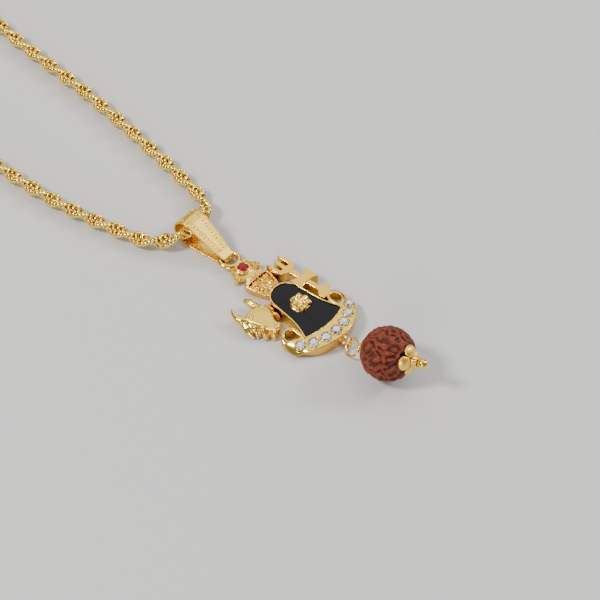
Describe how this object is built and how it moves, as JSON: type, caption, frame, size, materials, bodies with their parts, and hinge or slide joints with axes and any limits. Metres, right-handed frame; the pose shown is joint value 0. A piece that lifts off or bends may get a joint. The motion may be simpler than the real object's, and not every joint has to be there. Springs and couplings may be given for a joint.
{
  "type": "trishul damru pendant on a rope chain",
  "caption": "Gold-plated pendant with a black enamel dome, trishul and bull's head, a seed bead hanging below it and a bail above, threaded on a closed rope chain.",
  "frame": {"origin": "on the pendant's flat back, under the middle of the black enamel dome", "axes": "+X towards the trishul side, +Y towards the ring, bail and chain, +Z out of the face"},
  "size_m": [0.0888, 0.3089, 0.0107],
  "materials": {
    "gold_plate": "yellow gold plating, finely matte with polished edges",
    "black_enamel": "glossy black enamel",
    "clear_crystal": "faceted, polished",
    "red_crystal": "smooth cabochon, polished",
    "rudraksha_seed": "wrinkled seed, lightly oiled"
  },
  "bodies": {
    "root": {"pendant_frame": "gold_plate", "enamel": "black_enamel", "tripund_emblem": "gold_plate", "red_stone": "red_crystal", "white_stone_1": "clear_crystal", "white_stone_2": "clear_crystal", "white_stone_3": "clear_crystal", "white_stone_4": "clear_crystal", "white_stone_5": "clear_crystal", "white_stone_6": "clear_crystal", "white_stone_7": "clear_crystal", "eye_pin": "gold_plate", "rudraksha_bead": "rudraksha_seed", "bead_cap": "gold_plate", "coil_spacer": "gold_plate", "bail": "gold_plate", "rope_chain": "gold_plate", "clasp": "gold_plate"}
  },
  "joints": []
}
